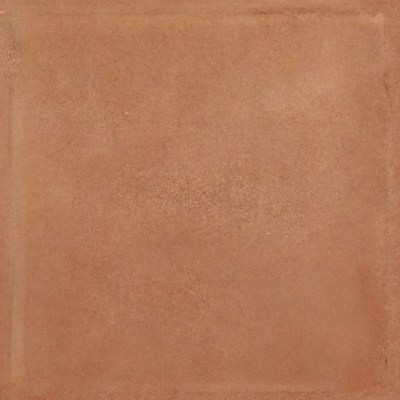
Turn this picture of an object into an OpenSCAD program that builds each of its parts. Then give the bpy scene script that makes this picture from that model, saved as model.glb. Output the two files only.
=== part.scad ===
// Square terracotta floor tile, pressed and fired as one piece.
// It lies on its keyed back with the face up. The origin is at the middle of the back,
// X and Y run along the sides and +Z points out of the face. Sizes are in millimetres.

/* [Tile] */
// Length of the tile along X
tile_length = 300; // [150:1:600]
// Width of the tile along Y
tile_width = 300; // [150:1:600]
// Thickness from the ribs of the back to the field of the face
tile_thickness = 10; // [7:0.5:25]
// Radius of the four upright corners
corner_radius = 2; // [1.8:0.1:6]
// Rounding of the arris, where the face meets the sides
arris_radius = 1.2; // [0.3:0.1:1.6]
// Chamfer around the foot of the sides
foot_chamfer = 0.8; // [0.2:0.1:1.2]

/* [Face] */
// Height of the field above the flat rim
field_rise = 0.6; // [0.2:0.1:1.5]
// Width of the soft slope from the rim up to the field
shoulder_width = 5; // [2:0.5:7.5]
// Radius of the field's corners, at the foot of the slope
field_corner_radius = 8; // [8:0.5:20]
// Width of the rim on the -X side
rim_left = 8.5; // [3:0.5:20]
// Width of the rim on the +X side
rim_right = 10; // [3:0.5:20]
// Width of the rim on the -Y side
rim_front = 5.5; // [3:0.5:20]
// Width of the rim on the +Y side
rim_back = 9.5; // [3:0.5:20]

/* [Back] */
// Depth of the keying recesses
key_depth = 0.8; // [0.4:0.1:1.5]
// Wanted length of a recess's sides, which is trimmed to fill the back evenly
key_size = 20; // [10:1:28]
// Width of the ribs between the recesses
rib_width = 3; // [1:0.5:6]
// Width of the flat border around the recesses
back_border = 12; // [5:1:25]
// Cut across each corner of a recess
key_corner_cut = 2; // [0.5:0.5:4]

/* [Hidden] */

rim_level = tile_thickness - field_rise;
field_length = tile_length - rim_left - rim_right;
field_width = tile_width - rim_front - rim_back;
field_middle = [(rim_left - rim_right) / 2, (rim_front - rim_back) / 2];

// How far the field is rooted below the rim
field_root = 2;
// Flat steps in the section of the arris and of the shoulder
arris_steps = 6;
shoulder_steps = 8;
// Facets of a full turn of the rounded corners
corner_facets = 48;
// How far a cut runs past the surface that it opens
overcut = 1;

// A section's points fall on whole microns, so its straight and turned stretches meet exactly.
function micron(length) = round(length * 1000) / 1000;

// Section of the slab's edge as [outward, up], measured from the plane of the side.
slab_edge = concat(
    [[-foot_chamfer, 0], [0, foot_chamfer]],
    [for (i = [0:arris_steps])
        let (turn = 90 * i / arris_steps)
        [micron(arris_radius * (cos(turn) - 1)),
         micron(rim_level + arris_radius * (sin(turn) - 1))]]
);

// Section of the field's edge as [outward, up], measured from the foot of the slope.
// The slope is half a cosine wave, level with the rim at its foot and with the field at its top.
field_edge = concat(
    [[0, rim_level - field_root]],
    [for (i = [0:shoulder_steps])
        let (share = i / shoulder_steps)
        [micron(-shoulder_width * share),
         micron(rim_level + field_rise * (1 - cos(180 * share)) / 2)]]
);

// Solid bar along Y with an edge section on both of its sides.
module edged_bar(across, along, edge) {
    last = len(edge) - 1;
    rotate([90, 0, 0])
        linear_extrude(height = along, center = true)
            polygon(concat(
                [for (point = edge) [across / 2 + point[0], point[1]]],
                [for (i = [last:-1:0]) [-across / 2 - edge[i][0], edge[i][1]]]
            ));
}

// Quarter turn of an edge section about an upright axis.
module edged_corner(radius, edge) {
    last = len(edge) - 1;
    rotate_extrude(angle = 90, $fn = corner_facets)
        polygon(concat(
            [[0, edge[0][1]]],
            [for (point = edge) [radius + point[0], point[1]]],
            [[0, edge[last][1]]]
        ));
}

// Rectangular pad with an edge section carried all round it and rounded upright corners.
module edged_pad(length, width, radius, edge) {
    straight = [length - 2 * radius, width - 2 * radius];
    corners = [[1, 1], [-1, 1], [-1, -1], [1, -1]];
    edged_bar(length, straight[1], edge);
    rotate(90) edged_bar(width, straight[0], edge);
    for (i = [0:3])
        translate([corners[i][0] * straight[0] / 2, corners[i][1] * straight[1] / 2, 0])
            rotate(90 * i) edged_corner(radius, edge);
}

// Outline of one recess: a rectangle with its corners cut off.
module key_outline(size, cut) {
    x = size[0] / 2;
    y = size[1] / 2;
    polygon([
        [x, y - cut], [x - cut, y], [cut - x, y], [-x, y - cut],
        [-x, cut - y], [cut - x, -y], [x - cut, -y], [x, cut - y]
    ]);
}

// Keying recesses, in even numbers each way so that two ribs cross at the middle of the back.
module back_keys() {
    region = [tile_length - 2 * back_border, tile_width - 2 * back_border];
    count = [for (side = region) 2 * max(1, round((side + rib_width) / (key_size + rib_width) / 2))];
    pitch = [for (i = [0, 1]) (region[i] + rib_width) / count[i]];
    translate([0, 0, -overcut])
        linear_extrude(height = overcut + key_depth)
            for (column = [0:count[0] - 1], row = [0:count[1] - 1])
                translate([
                    (column - (count[0] - 1) / 2) * pitch[0],
                    (row - (count[1] - 1) / 2) * pitch[1]
                ])
                    key_outline([pitch[0] - rib_width, pitch[1] - rib_width], key_corner_cut);
}

module tile() {
    color("#b27a58")
        difference() {
            union() {
                edged_pad(tile_length, tile_width, corner_radius, slab_edge);
                translate([field_middle[0], field_middle[1], 0])
                    edged_pad(field_length, field_width, field_corner_radius, field_edge);
            }
            back_keys();
        }
}

tile();
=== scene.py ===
"""Square terracotta floor tile on a pale studio floor.

Run as a script, it builds the worn face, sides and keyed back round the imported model, then
the studio. Lengths are in metres. Places on the face are hundredths of the tile's sides: u runs
from 0 on the -X side to 100 on the +X side, and v from 0 on the -Y side to 100 on the +Y side.
"""

import math
from types import SimpleNamespace

import bpy
import numpy as np
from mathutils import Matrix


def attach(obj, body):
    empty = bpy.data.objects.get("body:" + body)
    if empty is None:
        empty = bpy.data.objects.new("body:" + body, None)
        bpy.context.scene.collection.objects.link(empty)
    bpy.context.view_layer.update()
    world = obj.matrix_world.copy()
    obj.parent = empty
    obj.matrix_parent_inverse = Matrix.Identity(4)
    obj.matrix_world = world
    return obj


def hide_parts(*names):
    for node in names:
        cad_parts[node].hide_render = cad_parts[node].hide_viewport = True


bl_info = {
    "name": "Terracotta Floor Tile",
    "version": (1, 0, 0),
    "blender": (4, 5, 0),
    "location": "View3D > Sidebar > Floor Tile",
    "description": "Builds a worn square terracotta floor tile and a plain studio",
    "category": "Add Mesh",
}

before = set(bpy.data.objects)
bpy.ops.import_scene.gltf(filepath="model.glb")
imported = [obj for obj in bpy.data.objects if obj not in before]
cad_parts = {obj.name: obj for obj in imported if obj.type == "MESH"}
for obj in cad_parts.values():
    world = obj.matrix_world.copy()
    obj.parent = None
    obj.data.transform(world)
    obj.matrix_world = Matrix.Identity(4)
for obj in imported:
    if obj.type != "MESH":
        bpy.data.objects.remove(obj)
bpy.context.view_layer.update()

MM = 0.001
NODE = "tile"
MAP_NAME = "OFBake"


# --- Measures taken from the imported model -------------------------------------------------


def cad_points():
    """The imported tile's corner points, as rows of x, y and z."""
    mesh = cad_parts[NODE].data
    points = np.empty(3 * len(mesh.vertices), np.float32)
    mesh.vertices.foreach_get("co", points)
    return points.reshape(-1, 3).astype(float)


def flat_box(points):
    """Lowest and highest x and y of some points."""
    return points[:, :2].min(axis=0), points[:, :2].max(axis=0)


def measure_tile():
    """Reads the section of the edges, the field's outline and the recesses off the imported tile.

    The arris and foot chamfer end where the upright side begins and stops, the rim is the highest
    level beside a side, and the field and recesses are boxes of the points at their own levels.
    """
    points = cad_points()
    low, high = points.min(axis=0), points.max(axis=0)
    near = 0.01 * MM
    side = points[points[:, 0] > high[0] - near]
    corner = high[1] - side[:, 1].max()
    rim = points[points[:, 0] > high[0] - corner, 2].max()
    inside = points[(np.abs(points[:, :2]) < high[:2] - corner - near).all(axis=1)]
    foot = flat_box(inside[np.abs(inside[:, 2] - rim) < near])
    foot_side = inside[(np.abs(inside[:, 2] - rim) < near) & (inside[:, 0] > foot[1][0] - near)]
    crest = flat_box(inside[inside[:, 2] > high[2] - near])
    under = inside[(inside[:, 2] > near) & (inside[:, 2] < rim / 2)]
    key_lines = [np.unique(under[:, axis].round(5)).reshape(-1, 4) for axis in (0, 1)]
    return SimpleNamespace(
        low=low,
        high=high,
        side=high[0] - low[0],
        corner=corner,
        arris=rim - side[:, 2].max(),
        chamfer=side[:, 2].min(),
        rim=rim,
        foot=foot,
        foot_corner=foot[1][1] - foot_side[:, 1].max(),
        shoulder=crest[0][0] - foot[0][0],
        key_depth=under[:, 2].max(),
        key_spans=[lines[:, [0, 3]] for lines in key_lines],
        key_cut=key_lines[0][0, 1] - key_lines[0][0, 0],
    )


TILE = measure_tile()


# --- Curves and noise ---------------------------------------------------------------------


def ease(share):
    """Half a cosine wave: 0 below 0, 1 above 1, level at both ends."""
    return (1 - np.cos(np.pi * np.clip(share, 0, 1))) / 2


def eased_curve(place, knots):
    """Value at each place along a row of (place, value) knots, with a half cosine between knots."""
    places, values = np.array(knots, float).T
    at = np.clip(np.searchsorted(places, place, side="right") - 1, 0, len(places) - 2)
    share = (place - places[at]) / (places[at + 1] - places[at])
    return values[at] + (values[at + 1] - values[at]) * ease(share)


def bell(distance, width):
    """Gaussian bump of height 1, with its width as the standard deviation."""
    return np.exp(-0.5 * (distance / width) ** 2)


def lattice(cells, seed):
    """Repeatable random number from -1 to 1 for each row of whole numbers."""
    mixed = cells.astype(np.int64) @ np.array([73856093, 19349663, 83492791]) + 7919 * seed
    mixed = (mixed ^ (mixed >> 13)) * 1274126177 & 0x7FFFFFFF
    mixed = (mixed ^ (mixed >> 15)) * 668265263 & 0x7FFFFFFF
    return mixed / 0x3FFFFFFF - 1


def noise(points, cell, seed):
    """Smooth noise from -1 to 1: random values at the corners of cubes, eased between them."""
    places = points / cell
    base = np.floor(places)
    share = places - base
    share = share * share * (3 - 2 * share)
    total = np.zeros(len(points))
    for corner in np.ndindex(2, 2, 2):
        weight = np.where(corner, share, 1 - share).prod(axis=1)
        total += weight * lattice(base + corner, seed)
    return total


def fractal(points, cell, octaves, seed, fade=0.5):
    """Noises with cells half as wide and strengths faded by the same factor, scaled to -1 to 1."""
    total, strengths = np.zeros(len(points)), fade ** np.arange(octaves)
    for step, strength in enumerate(strengths):
        total += strength * noise(points, cell / 2**step, seed + step)
    return total / strengths.sum()


# --- Wear on the face ---------------------------------------------------------------------

# Each side of the field. Knots are (u or v along the side, value). shift moves
# the foot of the slope outwards in millimetres, line is the share of soil held in the foot itself,
# and dirt is the share of soil spread over the rim beside it.
SIDES = {
    "left": SimpleNamespace(
        shift=(
            (0, 0), (10, 0.4), (22, 0.4), (35, -1), (50, -0.6), (57, 0.2), (70, 0.5), (85, -0.3), (100, 0),
        ),
        line=((0, 0), (5, 0.1), (20, 0.04), (55, 0.02), (65, 0.05), (85, 0.06), (100, 0)),
        dirt=((0, 0), (5, 0.03), (30, 0.02), (60, 0.02), (85, 0.05), (95, 0.02), (100, 0)),
    ),
    "right": SimpleNamespace(
        shift=(
            (0, -0.5), (10, -0.9), (20, -0.5), (35, -1), (45, -0.6), (53, 0), (60, -0.8), (68, -1.2),
            (77, -1.2), (82, -1.4), (87, -1.8), (92, -2.2), (96, -1.5), (100, -1),
        ),
        line=(
            (0, 0), (6, 0.08), (10, 0.3), (15, 0.12), (20, 0.18), (30, 0.05), (40, 0.06), (52, 0.12),
            (68, 0.04), (78, 0.1), (81, 0.1), (86, 0.04), (93, 0.14), (97, 0),
        ),
        dirt=((0, 0), (10, 0.06), (20, 0.06), (30, 0), (75, 0), (80, 0.08), (84, 0)),
    ),
    "front": SimpleNamespace(
        shift=(
            (0, -0.8), (30, -1), (42, -0.5), (50, -1.3), (57, -0.7), (62, -1.2), (67, -0.8), (72, -1.2),
            (85, -1.2), (100, -1),
        ),
        line=(
            (0, 0), (10, 0.02), (50, 0.05), (65, 0.1), (72, 0.3), (78, 0.18), (86, 0.12), (93, 0.04),
            (100, 0),
        ),
        dirt=((10, 0.05), (20, 0), (65, 0), (75, 0.05), (85, 0.04), (100, 0)),
    ),
    "back": SimpleNamespace(
        shift=(
            (0, -0.8), (10, -1.9), (17, -2.3), (25, -2), (33, -2), (42, -1.5), (50, -1.4), (62, -1.3),
            (67, -1.5), (75, -1.8), (81, -1.5), (88, -1.6), (94, -2), (100, -1),
        ),
        line=(
            (0, 0), (10, 0.06), (13, 0.16), (23, 0.14), (26, 0), (34, 0.12), (39, 0.14), (44, 0.04),
            (57, 0.03), (61, 0.16), (66, 0.62), (71, 0.2), (76, 0.1), (80, 0.26), (88, 0.28), (92, 0.04),
            (100, 0),
        ),
        dirt=((60, 0), (66, 0.09), (70, 0.22), (76, 0.27), (82, 0.25), (87, 0.15), (93, 0.03), (100, 0)),
    ),
}

# Bands of wear and painted light beside the foot: side, (millimetres inside the foot, share) knots
# across the band, then (u or v, value) knots along it. Values are in the units of the clouds below.
# The pale crests on the left and back add painted light to the lit shoulder, and the pale bands at
# the foot in front and on the right partly offset, as painted light, the shade of slopes that face
# away from the lamp.
TONE_BANDS = (
    ("left", ((-7, 1), (-6.3, 0.4), (-5.2, 0.15), (-3, 0)),
     ((0, -22), (4, -20), (8, -11), (20, -17), (28, -11), (36, -6), (43, -1), (53, -4), (60, -1), (75, -3),
      (83, 0), (87, -3), (92, 4), (100, 5))),
    ("left", ((-5, 0), (-3.5, 1), (-0.5, 1), (1, 0)),
     ((0, -7), (4, -3), (8, 4), (13, 4), (18, -1), (23, -1), (28, 3), (38, 5), (43, 8), (48, 3), (53, 6),
      (58, 0), (63, -3), (68, 0), (72, 5), (78, 0), (82, -3), (87, -3), (92, -1), (100, 8))),
    ("left", ((-1.4, 0), (-0.4, 1), (0.8, 1), (1.8, 0)),
     ((0, 0), (13, 3), (18, 1), (23, 1), (28, 9), (38, 9), (43, 6), (49, 0), (58, 6), (63, -6), (68, -3),
      (73, -2), (77, -4), (82, -2), (87, -9), (91, 0))),
    ("left", ((-0.5, 0), (0.5, 1), (3.4, 1), (4.8, 0)),
     ((0, 0), (17, 1), (22, -9), (28, -5), (34, 0), (48, 0), (52, 1), (56, 0), (61, -13), (66, -9),
      (72, -6), (77, -17), (83, -6), (90, -12), (93, -12), (96, 0), (100, 4))),
    # Pale crest on the left slope: pale bloom, and painted light of the shoulder lit by the lamp.
    ("left", ((0.8, 0), (3.4, 0.95), (6, 1), (8.5, 0.9), (12.5, 0)),
     ((0, 2), (4, 6), (8, 17), (18, 19), (25, 15), (35, 14), (43, 6), (50, 9), (58, 10), (62, 8), (67, 15),
      (72, 13), (77, 6), (82, -1), (87, -9), (92, 8), (100, 3))),
    ("right", ((-9, 1), (-7, 0.7), (-5.5, 0.2), (-4.5, 0)),
     ((0, 11), (7, 8), (13, 3), (20, 2), (35, 0), (50, 2), (57, -3), (68, 3), (100, 1))),
    # Pale lip on the right: partly painted light that offsets the shade of the slope beside it.
    ("right", ((-8, 0), (-5, 0.6), (-2.6, 1), (-0.4, 1), (0.8, 0)),
     ((0, 6), (8, 0), (12, 1), (17, 4), (22, 6), (27, 4), (32, 3), (37, 1), (42, 8), (47, 11), (52, 15),
      (57, 10), (62, 15), (67, 12), (72, 5), (77, -5), (82, -2), (87, 9), (92, 4), (100, 2))),
    ("right", ((-0.4, 0), (0.6, 1), (4, 1), (6, 0)),
     ((27, 0), (32, 8), (37, 6), (42, 9), (47, 12), (52, 2), (57, 3), (62, 9), (67, 1), (72, 4), (77, 3),
      (80, 0))),
    ("right", ((2.5, 0), (4, 1), (5.5, 1), (7.5, 0)),
     ((45, 0), (50, -2), (52.5, -8), (57.5, 0), (62, 0), (68, -2), (72, -10), (76, 0), (82, -2), (100, 0))),
    # Pale strip on the right slope: a pale patch, partly painted light that offsets the slope's shade.
    ("right", ((0.7, 0), (1.5, 1), (3.2, 1), (6, 0)),
     ((79, 0), (82, 12), (87, 14), (93, 24), (95.5, 14), (97, 0))),
    ("right", ((-8, 0), (-6.5, 1), (-4.8, 1), (-3.5, 0)),
     ((42, 0), (47.5, 6), (52.5, 0), (57.5, -6), (62, 0), (78, 0), (82, 8), (87, 5), (92, 4), (96, 0))),
    ("right", ((-0.8, 0), (0, 1), (0.8, 1), (1.6, 0)),
     ((5, 0), (8, -6), (13, 0), (20, 0), (23, 8), (26, 0), (33, 0), (37.5, -4), (43, -3), (47.5, -7),
      (52.5, 3), (57.5, 6), (62.5, -5), (67, 5), (72, 0), (77, 3), (82, 5), (87, 9), (92, -6), (96, 0))),
    ("front", ((-6, 1), (-4, 1), (-1, 0)),
     ((0, -2), (6, 0), (12, -4), (18, 2), (24, 0), (27, -7), (32, 4), (37, -4), (42, -5), (48, 0), (52, -6),
      (57, 0), (62, 4), (67, 0), (72, 2), (80, 0), (87, 6), (92, 4), (100, 2))),
    # Pale crest on the front slope: pale bloom, and painted light that offsets part of the slope's shade.
    ("front", ((0.3, 0), (1.7, 1.1), (3.6, 1), (5.5, 0.75), (7.5, 0.4), (10, 0)),
     ((0, 0), (8, 6), (14, 4), (18, 2), (22, 4), (25, 11), (28, 12), (32, 10), (37, 12), (42, 4), (47, 12),
      (52, 18), (58, 16), (62, 13), (67, 19), (70, 19), (76, 17), (80, 14), (85, 10), (89, 5), (92, -2),
      (100, 0))),
    ("front", ((-6, 0), (-4.5, 1), (-2.5, 1), (-0.8, 0)),
     ((0, -1), (6, -3), (12, -3), (30, 2), (55, 6), (65, 2), (71, -4), (77, -2), (82, 0), (87, -3), (94, 6),
      (100, 2))),
    ("back", ((-9, 1), (-7, 0.8), (-5, 0)),
     ((0, -4), (5, -6), (20, -5), (28, -3), (34, 0), (37, 6), (40, 1), (45, -6), (52, 6), (62, 3), (68, 13),
      (75, 13), (83, 10), (88, 1), (93, -6), (96, -13), (100, -16))),
    ("back", ((-4.2, 0), (-3.2, 1), (-1.6, 1), (-0.6, 0)),
     ((8, 4), (14, 6), (26, 6), (34, 4), (40, 2), (45, 0), (56, 2), (62, 2), (68, -1), (77, 3), (82, 0),
      (87, 4), (92, 0), (100, -3))),
    ("back", ((0.4, 0), (1.6, 1), (3.5, 1), (5, 0)),
     ((0, 0), (6, -5), (12, -6), (22, -5), (27, 5), (31, 0), (36, 2), (41, 8), (45, 2), (52, -6), (57, -6),
      (61, 4), (67, -9), (72, -4), (77, 3), (81, -8), (87, -10), (92, -5), (95, 0))),
    ("back", ((-0.6, 0), (0.2, 1), (1, 1), (1.9, 0)),
     ((0, 0), (7, 5), (12, -4), (17, -3), (22, 0), (27, 5), (32, -3), (37, 0), (42, 0), (47, -7), (53, -6),
      (58, -2), (62, 0), (67, -8), (72, -8), (77, 2), (82, -6), (87, -4), (92, -12), (96, 0))),
    ("back", ((5.5, 0), (7.5, 1), (9.5, 1), (12, 0)),
     ((62, 0), (67, -8), (72, -4), (77, -5), (82, -2), (87, -8), (92, 0))),
    ("back", ((-8, 0), (-6, 1), (-4.2, 1), (-3.2, 0)),
     ((0, 7), (5, 6), (10, 8), (20, 6), (28, 6), (40, 6), (48, 8), (53, 9), (58, 10), (63, 18), (67, 9),
      (72, -1), (77, -2), (82, 0), (87, -5), (92, 0), (100, -3))),
    # Pale crest on the back slope: pale bloom, and painted light of the shoulder lit by the lamp.
    ("back", ((1.8, 0), (4.6, 1), (7, 1), (11, 0)),
     ((5, 6), (10, 3), (20, 4), (28, 5), (34, 7), (42, 9), (47, 3), (53, 0), (57, 12), (62, 16), (67, 8),
      (71, 3), (76, 4), (82, 4), (87, 1), (91, 11), (94.5, 11), (96, 4), (100, 2))),
)
WARMTH_BANDS = (
    ("left", ((-7, 1), (-6.3, 0.4), (-5.2, 0.15), (-3, 0)), ((0, -1), (100, -1))),
    ("left", ((0.8, 0), (3.4, 0.95), (6, 1), (8.5, 0.9), (12.5, 0)),
     ((0, 0), (10, -1), (90, -1), (100, 0))),
    ("left", ((-7, 0), (-3, 1), (5, 1), (9, 0)),
     ((10, -2), (20, -2.5), (35, -4), (45, -5), (55, -4.5), (65, -5), (78, -2.5), (85, -3.5), (93, -3),
      (100, -1))),
    ("right", ((-8, 0), (-5, 0.6), (-2.6, 1), (-0.4, 1), (0.8, 0)),
     ((0, 0), (30, -2), (45, -3.5), (70, -3.5), (80, -2.5), (95, 0))),
    ("front", ((-6, 1), (-2, 1), (0, 0)), ((0, 0), (10, -1), (100, -1.5))),
    ("back", ((1.8, 0), (4.6, 1), (7, 1), (11, 0)),
     ((8, 0), (15, 2), (48, 2), (52, 0), (58, 2), (90, 3), (100, 0))),
)

# Fine cracks that run along v: (v, u) knots of the path, then (v, strength) knots.
CRACKS = (
    (((67, 97.6), (71, 97.6), (73.5, 97.4), (76, 96.9), (77.8, 96.2), (80, 95.6), (82, 95.9)),
     ((67, 0), (71, 0.2), (75, 0.38), (78.5, 0.4), (80, 0.38), (82, 0))),
    (((24, 3.7), (35, 3.8), (50, 3.8)), ((24, 0), (30, 0.1), (45, 0.12), (50, 0))),
    (((8, 2.6), (12, 2.6), (16, 3), (21, 2.7)), ((8, 0), (12, 0.15), (16, 0.3), (21, 0))),
)

# Small hard marks as (u, v, half length and half width in millimetres, strength), and a turn in
# degrees where they are turned: pale chipped clay above 0, dark soil below. The two dark marks at
# u 96.1, v 78 to 81 are painted shadow in the wide top end of the crack there.
FLECKS = (
    (66.9, 41.7, 1.8, 0.5, 0.9), (71.5, 41, 1.2, 0.45, 1), (74.2, 49.9, 1.3, 0.5, -0.35),
    (31.8, 71.5, 1.3, 1.1, 0.8), (29.7, 68.4, 2, 0.8, -0.3, 10), (29.7, 67.7, 1.2, 0.6, 0.4),
    (83, 22.5, 0.6, 0.5, 0.8), (82, 37.1, 0.6, 0.5, 0.5), (37.4, 45.3, 1.2, 0.5, 0.5),
    (28.2, 22, 0.8, 0.7, 0.6), (3.9, 4.2, 1.9, 0.55, -0.75, -45), (61.8, 44.9, 3.7, 0.6, -0.25, -45),
    (70.2, 45.3, 3, 0.5, -0.25, -70), (69.2, 45, 2.2, 0.5, -0.2, 45), (96.1, 10.2, 3.7, 0.9, -0.62, -80),
    (95.4, 12.5, 3, 0.7, 0.3, -80), (95.7, 29, 1.6, 1, -0.3, 30), (95.8, 4, 1.6, 0.6, -0.3, 60),
    (75, 95.2, 2.9, 1.8, 0.42, -15), (73.8, 96, 1.4, 0.5, 0.5), (78.3, 96, 2.6, 0.4, 0.45),
    # The last mark in this row and the first in the next are painted shadow in the top of the crack near
    # +X.
    (82.2, 96.1, 2.6, 0.4, 0.3, 5), (94.8, 95, 1.4, 1, 0.25, 30), (96.1, 81, 1.7, 1.7, -0.33),
    (96.1, 78.2, 5.2, 1.5, -0.25, -73), (95.1, 78, 1, 0.7, 0.35), (95.7, 75.8, 1.4, 1, 0.25, -30),
    (94.4, 72, 3.4, 0.7, -0.2, 90), (94.7, 6, 1.1, 1.1, -0.35), (94.7, 4.8, 1.1, 0.9, -0.3),
)


RIPPLE_HEIGHT = 0.6
RIPPLE_CELL = 14 * MM
# Millimetres over which a side's wear fades away from it.
WEAR_REACH = 4
LEAST_WEIGHT = 1e-9
# How patchy the bands are, and the size of the patches.
BAND_PATCHINESS = 0.35
BAND_CELL = 12 * MM
# A crack's wander and the width that it is measured over, both in millimetres.
CRACK_WANDER = 0.5
CRACK_CELL = 8 * MM
CRACK_REACH = 5
NO_CRACK = 9.0
SLOPE_STEP = 0.1


def hundredths(points):
    """u and v of points on the tile."""
    return ((points[:, :2] - TILE.low[:2]) / TILE.side).T * 100


def along_side(name, u, v):
    """The coordinate that runs along a side: v on the left and right, u in front and behind."""
    return v if name in ("left", "right") else u


def rounded_inside(first, second, radius):
    """Distance inside two sides that meet, rounded at their corner.

    It is the radius, less the distance beyond the corner's middle, or the smaller depth inside.
    """
    across, along = radius - first, radius - second
    beyond = np.hypot(np.maximum(across, 0), np.maximum(along, 0))
    return radius - beyond - np.minimum(np.maximum(across, along), 0)


def side_distances(points):
    """Distance in millimetres inside each side of the field's foot, which wanders with wear."""
    u, v = hundredths(points)
    x, y = points[:, 0], points[:, 1]
    straight = {
        "left": (x - TILE.foot[0][0], v),
        "right": (TILE.foot[1][0] - x, v),
        "front": (y - TILE.foot[0][1], u),
        "back": (TILE.foot[1][1] - y, u),
    }
    ripple = RIPPLE_HEIGHT * fractal(points, RIPPLE_CELL, 3, seed=11)
    return {
        name: distance / MM + eased_curve(along, SIDES[name].shift) + ripple
        for name, (distance, along) in straight.items()
    }


def rim_distance(points):
    """Distance in millimetres inside the field's foot: the nearest side, rounded at the corners."""
    sides = side_distances(points)
    across = np.minimum(sides["left"], sides["right"])
    along = np.minimum(sides["front"], sides["back"])
    return rounded_inside(across, along, TILE.foot_corner / MM)


def wear_along(points, quality):
    """How strong a quality of the nearest side is, blended where two sides meet."""
    u, v = hundredths(points)
    total, weights = np.zeros(len(points)), np.full(len(points), LEAST_WEIGHT)
    for name, distance in side_distances(points).items():
        weight = np.exp(-np.abs(distance) / WEAR_REACH)
        along = along_side(name, u, v)
        total += weight * eased_curve(along, getattr(SIDES[name], quality))
        weights += weight
    return total / weights


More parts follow.
